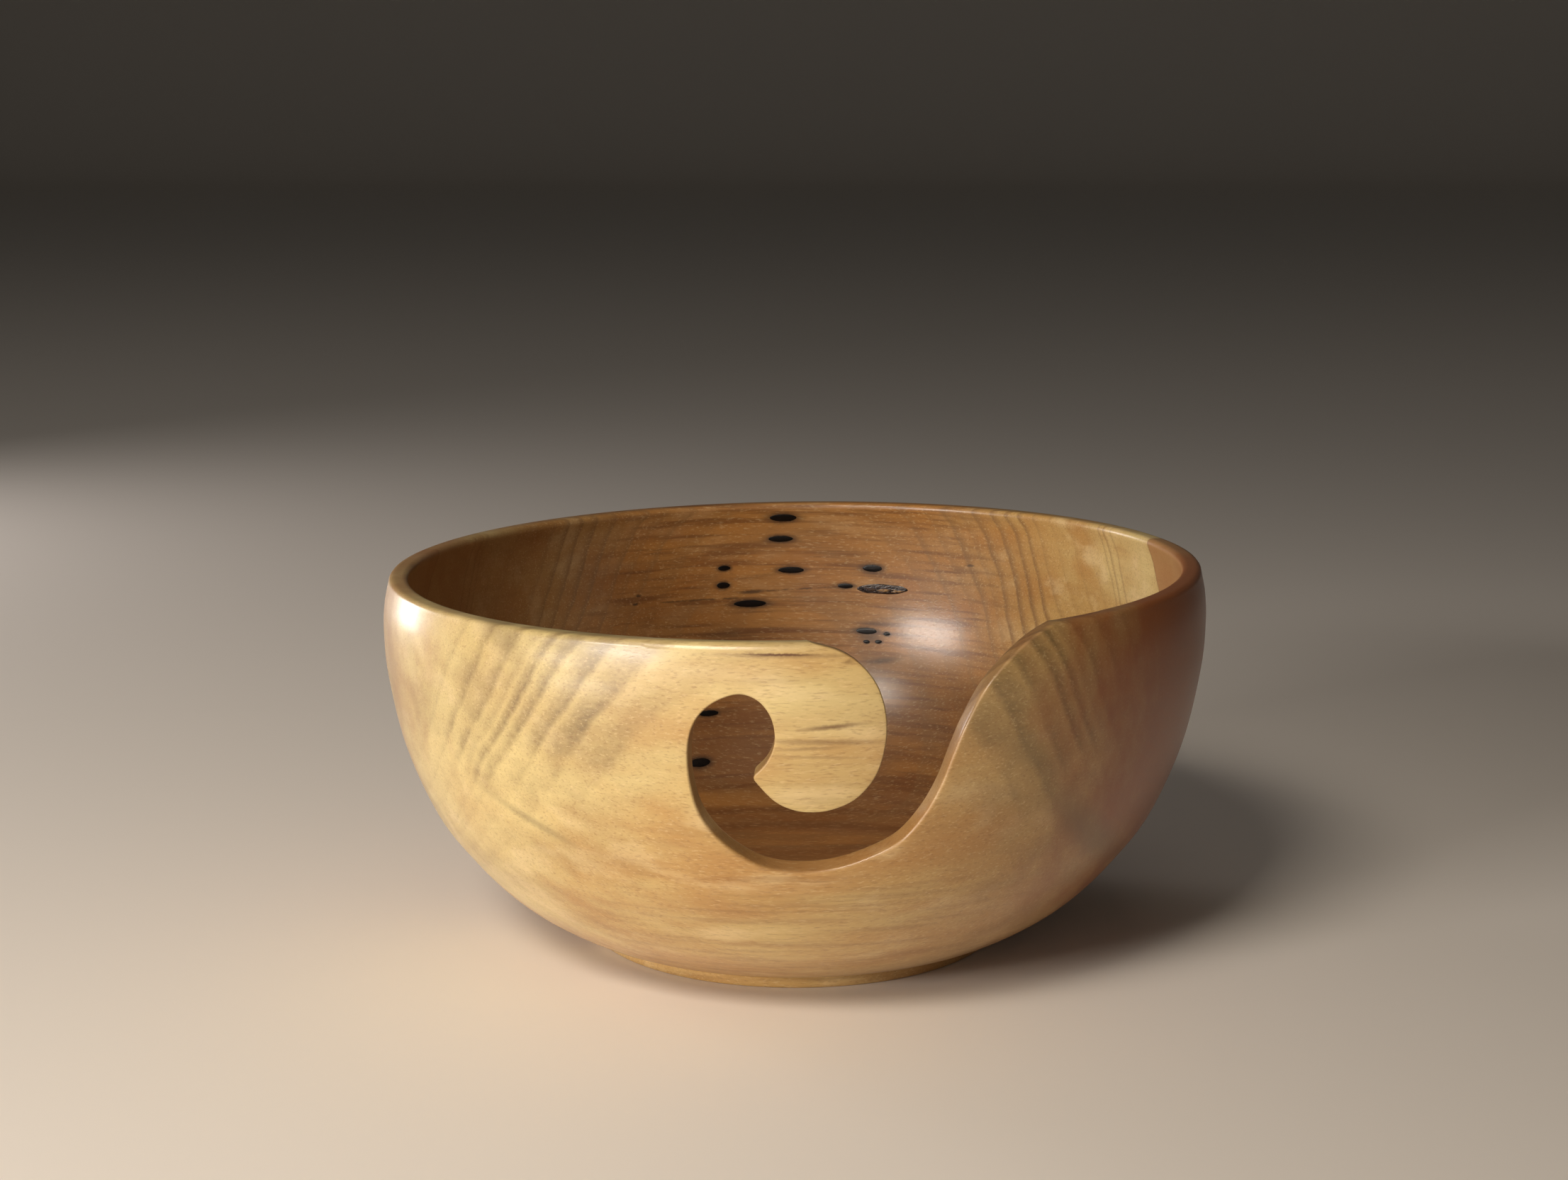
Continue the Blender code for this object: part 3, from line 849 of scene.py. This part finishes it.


def mark_layers(tree, place, behind):
    """The sawn face and each side's dark marks, as (share, where, colour), roughened a little."""
    add = partial(add_node, tree)
    rough = add('ShaderNodeTexNoise', {"Vector": place, "Scale": 0.9, "Detail": 2.0})
    nudge = add(VECTOR, (rough.outputs["Color"], (1.3, 0.0, 0.5), (-0.65, 0.0, -0.25)), 'MULTIPLY_ADD')
    place = add(VECTOR, (place, nudge), 'ADD')
    inside = add('ShaderNodeAttribute', attribute_name="inner_side").outputs["Fac"]
    cut_face = add('ShaderNodeAttribute', attribute_name="cut_face").outputs["Fac"]
    back_wall = add(MATH, (inside, behind), 'MULTIPLY')
    either = add(MATH, (inside, behind), 'MAXIMUM')
    front_face = add(MATH, (1.0, either), 'SUBTRACT')
    holes = marks_shade(tree, place, HOLE_STAINS + list(INSIDE_MARKS))
    holes = add(MATH, (holes, cracks_shade(tree, place, INSIDE_CRACKS)), 'MAXIMUM')
    return ((cut_face, CUT_FACE_VARNISH_AND_SHADE, PAINTED_SHADE_BROWN),
            (marks_shade(tree, place, OUTSIDE_SMEARS), front_face, STAIN),
            (marks_shade(tree, place, OUTSIDE_MARKS), front_face, CRACK_BROWN),
            (holes, back_wall, MARK_BROWN))

# %% The varnished wood
VARNISH_IOR = 1.5
WOOD_ROUGHNESS = 0.5
VARNISH_COAT = 0.75
VARNISH_ROUGHNESS = 0.23
FRONT_TO_BACK = 32.0  # half width of the change between the two sides
RAGGED = 15.0  # how far that change strays


def varnished_wood():
    """Wormy soft maple, turned, sanded and wiped with a clear satin varnish."""
    material, tree = new_material("varnished_wormy_maple")
    add = partial(add_node, tree)
    place = own_place(tree)
    y = add('ShaderNodeSeparateXYZ', (place,)).outputs["Y"]
    stray = grain(tree, place, (34.0, 24.0, 24.0), (0.2, 0.8), (-RAGGED, RAGGED), 65.0)
    strayed = add(MATH, (y, stray), 'ADD')
    behind = add(STEP, (strayed, -FRONT_TO_BACK, FRONT_TO_BACK), **SMOOTH)
    fleck = grain(tree, place, (2.8, 0.42, 0.42), (0.50, 0.74), seed=5.0, detail=2.0)
    colour = HONEY
    layers = wood_layers(tree, place, behind, fleck) + mark_layers(tree, place, behind)
    for share, where, tint in layers:
        share = add(MATH, (share, where), 'MULTIPLY')
        colour = add('ShaderNodeMix', (share, colour, tint), data_type='RGBA')

    # The pores stand open by a few hundredths of a millimetre under the varnish
    swell = grain(tree, place, (24.0, 6.0, 6.0), (0.2, 0.8), (0.0, 1.6), 60.0)
    relief = add(MATH, (swell, fleck), 'SUBTRACT')
    rippled_skin(tree, relief, (0.12, 0.05), {
        "Base Color": colour, "Roughness": WOOD_ROUGHNESS, "IOR": VARNISH_IOR,
        "Coat Weight": VARNISH_COAT, "Coat Roughness": VARNISH_ROUGHNESS,
        "Coat IOR": VARNISH_IOR}, ("Normal", "Coat Normal"))
    return material


wood_material = varnished_wood()
print(f"the wood uses {len(wood_material.node_tree.nodes)} nodes")

# %% Turn the bowl
RIM_WARP = 0.014  # rise of the rim per millimetre of X
wooden_bowl = run_tree(unrolled, turning_tree(wood_material), {
    "Widest Radius": WIDEST_RADIUS, "Rim Height": RIM_HEIGHT, "Rim Warp": RIM_WARP,
    "Scale": MM, "Merge Distance": MERGE * MM,
}, "turned_bowl")
bpy.data.objects.remove(unrolled)
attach(wooden_bowl, "root")
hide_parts("bowl")
triangles = sum(len(face.vertices) - 2 for face in wooden_bowl.data.polygons)
print(f"the bowl has {triangles} triangles")

# %% [markdown]
# ## The resin in the holes
# Each hole is filled with thin resin, which dries black over the stained tunnel as a low, glossy
# lens. The fourteen differ only in place and size, so Geometry Nodes set one small lens on each
# of fourteen points. The points lie on a flat board again, and carry their sizes as attributes. A
# ray cast backwards from each vertex then finds the wall, and the vertex is set on it, as far off
# the wood as the lens is thick there.

# %% The tree that sets lenses on the wall
def lens_tree(material, wall):
    """Lenses on points of a flat board, cast onto the inside of the back wall."""
    tree = new_geometry_tree("lenses_on_the_wall", ("Thickness", "Scale", "Roughen"))
    add = partial(add_node, tree)
    given = add('NodeGroupInput').outputs
    lens = add('GeometryNodeMeshUVSphere', {"Segments": 32, "Rings": 10, "Radius": 1.0})
    half_length, half_width, lean = (
        add('GeometryNodeInputNamedAttribute', {"Name": name}, data_type='FLOAT')
        for name in ("half_length", "half_width", "lean"))
    size = add('ShaderNodeCombineXYZ', (half_length, given["Thickness"], half_width))
    turn = add('ShaderNodeCombineXYZ', (0.0, lean, 0.0))
    placed = add('GeometryNodeInstanceOnPoints', {
        "Points": given["Geometry"], "Instance": lens, "Rotation": turn, "Scale": size})
    loose = add('GeometryNodeRealizeInstances', {"Geometry": placed})

    place = add('GeometryNodeInputPosition')
    thickness = add('ShaderNodeSeparateXYZ', (place,)).outputs["Y"]
    uneven = add('ShaderNodeTexNoise', {"Vector": place, "Scale": 1.1, "Detail": 2.0})
    centred = add(VECTOR, (uneven.outputs["Color"], (0.5, 0.5, 0.5)), 'SUBTRACT')
    wobble = add(VECTOR, (centred, given["Roughen"]), 'SCALE')
    shaken = add(VECTOR, (place, wobble), 'ADD')
    scaled = add(VECTOR, (shaken, given["Scale"]), 'SCALE')
    level = add(VECTOR, (scaled, (1.0, 0.0, 1.0)), 'MULTIPLY')
    found = add('GeometryNodeRaycast', {
        "Target Geometry": add('GeometryNodeObjectInfo', {"Object": wall}).outputs["Geometry"],
        "Source Position": level, "Ray Direction": (0.0, 1.0, 0.0), "Ray Length": 1.0}).outputs
    raised = add(MATH, (thickness, given["Scale"]), 'MULTIPLY')
    lift = add(VECTOR, (found["Hit Normal"], raised), 'SCALE')
    on_wall = add(VECTOR, (found["Hit Position"], lift), 'ADD')
    moved = add('GeometryNodeSetPosition', {"Geometry": loose, "Position": on_wall})
    return end_tree(tree, moved, material)


LENS_THICKNESS = 0.16  # how far the middle of a lens stands off the wood


def lens_points(name, lenses):
    """Points on a flat board, one for each (X, height, half length, half width, lean)."""
    mesh = bpy.data.meshes.new(name)
    mesh.from_pydata([(x, 0.0, height) for x, height, _a, _b, _lean in lenses], [], [])
    for column, label in enumerate(("half_length", "half_width", "lean"), start=2):
        values = mesh.attributes.new(label, 'FLOAT', 'POINT')
        values.data.foreach_set("value", [lens[column] for lens in lenses])
    board_points = bpy.data.objects.new(name, mesh)
    bpy.context.scene.collection.objects.link(board_points)
    return board_points


def resin_on_wall(name, lenses, material, roughen):
    """The lenses on the bowl's wall as one piece, with its faces outwards."""
    board_points = lens_points("points_of_" + name, lenses)
    values = {"Thickness": LENS_THICKNESS, "Scale": MM, "Roughen": roughen}
    piece = run_tree(board_points, lens_tree(material, wooden_bowl), values, name)
    bpy.data.objects.remove(board_points)
    work = bmesh.new()
    work.from_mesh(piece.data)
    bmesh.ops.recalc_face_normals(work, faces=work.faces)
    work.to_mesh(piece.data)
    work.free()
    return piece

# %% The black resin
def black_resin():
    """Thin resin that has soaked into the black tunnel wall and dried glossy."""
    material, tree = new_material("black_hole_resin")
    add = partial(add_node, tree)
    place = own_place(tree)
    cloudy = grain(tree, place, (2.6, 0.8, 0.8), (0.45, 0.75), (0.0, 0.35), 70.0, 2.0)
    colour = add('ShaderNodeMix', (cloudy, linear("#0B0706"), linear("#2A1E16")), data_type='RGBA')
    ripple = grain(tree, place, (0.9, 0.7, 0.7), (0.2, 0.8), seed=80.0, detail=2.0)
    rippled_skin(tree, ripple, (0.3, 0.1), {"Base Color": colour, "Roughness": 0.34, "IOR": 1.4})
    return material

# %% Fill the holes
ROUGHEN = 0.35
lenses = [((low.x + high.x) / 2, (low.z + high.z) / 2, (high.x - low.x) / 2,
           (high.z - low.z) / 2, 0.0) for low, high in hole_boxes]
hole_resin = resin_on_wall("hole_resin_lenses", lenses, black_resin(), ROUGHEN)
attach(hole_resin, "root")
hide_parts(*fills)
print(f"{len(lenses)} lenses of resin, {len(hole_resin.data.polygons)} faces")

# %% [markdown]
# ## The bark pocket
# One long lens is not black all through. Bark was trapped there, and the clear resin over it
# shows a dark ring round a streak of golden wood. It comes from the same tree, with a finish
# worked out from the distance to its middle.

# %% The resin over the bark
pocket_low, pocket_high = (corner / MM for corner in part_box("bark_pocket_fill"))
POCKET_MIDDLE = (pocket_low + pocket_high) / 2
POCKET_HALF = (pocket_high - pocket_low) / 2


def bark_resin():
    """Clear resin over a ring of trapped bark with a splinter of wood in it."""
    material, tree = new_material("clear_resin_on_bark")
    add = partial(add_node, tree)
    place = own_place(tree)
    local = add('ShaderNodeMapping', {
        "Vector": place, "Location": (POCKET_MIDDLE.x, 0.0, POCKET_MIDDLE.z),
        "Scale": (POCKET_HALF.x, 1e6, POCKET_HALF.z)}, vector_type='TEXTURE')
    crumbs = grain(tree, place, (3.0, 0.5, 0.5), (0.36, 0.66), seed=90.0)
    off_streak = add(VECTOR, (local, (1.5, 0.0, 2.9), (-0.38, 0.0, 0.75)), 'MULTIPLY_ADD')
    reach = add(VECTOR, (off_streak,), 'LENGTH')
    splinter = add(STEP, (reach, 0.55, 1.05, 0.85, 0.0), **SMOOTH)
    splinter = add(MATH, (splinter, crumbs), 'MULTIPLY')
    bark = add('ShaderNodeMix', (crumbs, linear("#1C1210"), linear("#4A3428")), data_type='RGBA')
    colour = add('ShaderNodeMix', (splinter, bark, linear("#B98E58")), data_type='RGBA')
    rippled_skin(tree, crumbs, (0.4, 0.12), {"Base Color": colour, "Roughness": 0.24, "IOR": 1.5})
    return material


pocket_lens = [(POCKET_MIDDLE.x, POCKET_MIDDLE.z, POCKET_HALF.x, POCKET_HALF.z, -0.02)]
pocket_resin = resin_on_wall("bark_pocket_resin", pocket_lens, bark_resin(), ROUGHEN * 2)
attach(pocket_resin, "root")
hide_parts("bark_pocket_fill")
print(f"the bark pocket is {2 * POCKET_HALF.x:.1f} by {2 * POCKET_HALF.z:.1f} mm")

# %% [markdown]
# ## The studio
# The bowl stands on a plain pale floor that curves up far behind it, so that no horizon shows.
# Soft lights to the left make its bright side, and one behind its left shoulder draws the patches
# of light on the varnish inside. A beam on the floor lights the underside. The world hardly adds
# anything, so the right side stays in shade.

# %% Floor
FLOOR_COLOUR = linear("#E8E0D6")
FLOOR_HALF = 6.0  # metres
SWEEP_START = 8.0
SWEEP_RADIUS = 1.6


def studio_floor():
    """A floor that sweeps up behind the bowl in one piece."""
    turn = np.radians(np.linspace(0, 90, 24))
    line = [(-FLOOR_HALF, 0.0)]
    line += [(SWEEP_START + SWEEP_RADIUS * math.sin(a), SWEEP_RADIUS * (1 - math.cos(a)))
             for a in turn]
    line.append((line[-1][0], FLOOR_HALF))
    corners = [(x, y, z) for y, z in line for x in (-FLOOR_HALF, FLOOR_HALF)]
    mesh = bpy.data.meshes.new("studio_floor")
    mesh.from_pydata(corners, [], quads(0, len(line), 2).reshape(-1, 4).tolist())
    mesh.shade_smooth()
    material, tree = new_material("matt_backdrop_paper")
    skin = add_node(tree, 'ShaderNodeBsdfPrincipled', {"Base Color": FLOOR_COLOUR, "Roughness": 0.8})
    add_node(tree, 'ShaderNodeOutputMaterial', (skin,))
    mesh.materials.append(material)
    floor = bpy.data.objects.new("studio_floor", mesh)
    bpy.context.scene.collection.objects.link(floor)


studio_floor()

# %% Lights
bowl_middle = (cad_box[0] + cad_box[1]) / 2


def soft_light(name, azimuth, elevation, distance, size, power, colour, target, spread=180.0):
    """An area light that looks at a target. Azimuth 0 is the front, and grows to the right."""
    light = bpy.data.lights.new(name, 'AREA')
    light.shape = 'RECTANGLE'
    light.size, light.size_y = size
    light.energy = power
    light.color = linear(colour)[:3]
    light.spread = math.radians(spread)
    lamp = bpy.data.objects.new(name, light)
    turn, rise = math.radians(azimuth), math.radians(elevation)
    away = Vector((math.sin(turn) * math.cos(rise), -math.cos(turn) * math.cos(rise),
                   math.sin(rise)))
    lamp.location = target + away * distance
    lamp.rotation_euler = (-away).to_track_quat('-Z', 'Y').to_euler()
    bpy.context.scene.collection.objects.link(lamp)


# The varnish shows the small streak softbox, close to the floor, as a streak below the rim
SOFTBOXES = (
    ("main_softbox", -47.0, 15.0, 2.4, (0.8, 0.16), 23.0, "#FFF8F0"),
    ("low_softbox", -63.0, 4.5, 2.6, (0.8, 0.2), 6.0, "#FFF8F4"),
    ("streak_softbox", -52.7, -3.5, 0.486, (0.16, 0.024), 0.12, "#FFF8F4"),
    ("front_softbox", -28.0, 4.5, 2.8, (2.6, 0.4), 11.5, "#FFF8EE"),
    ("shoulder_softbox", -126.0, 6.0, 1.0, (0.22, 0.32), 2.72, "#FFF8F6"),
    ("ceiling_softbox", 0.0, 85.0, 2.2, (1.2, 1.2), 1.4, "#FFF0E0"),
)
for softbox in SOFTBOXES:
    soft_light(*softbox, bowl_middle)
# A narrow beam on the floor in front
soft_light("floor_softbox", -25.0, 60.0, 1.16, (0.5, 0.4), 2.7, "#FFF4E6",
           Vector((-0.30, -0.42, 0.0)), 66.0)

world = bpy.data.worlds.new("studio_world")
world.use_nodes = True
world.node_tree.nodes["Background"].inputs["Color"].default_value = linear("#E9E4DC")
world.node_tree.nodes["Background"].inputs["Strength"].default_value = 0.034
bpy.context.scene.world = world
bpy.context.scene.view_settings.view_transform = 'Standard'
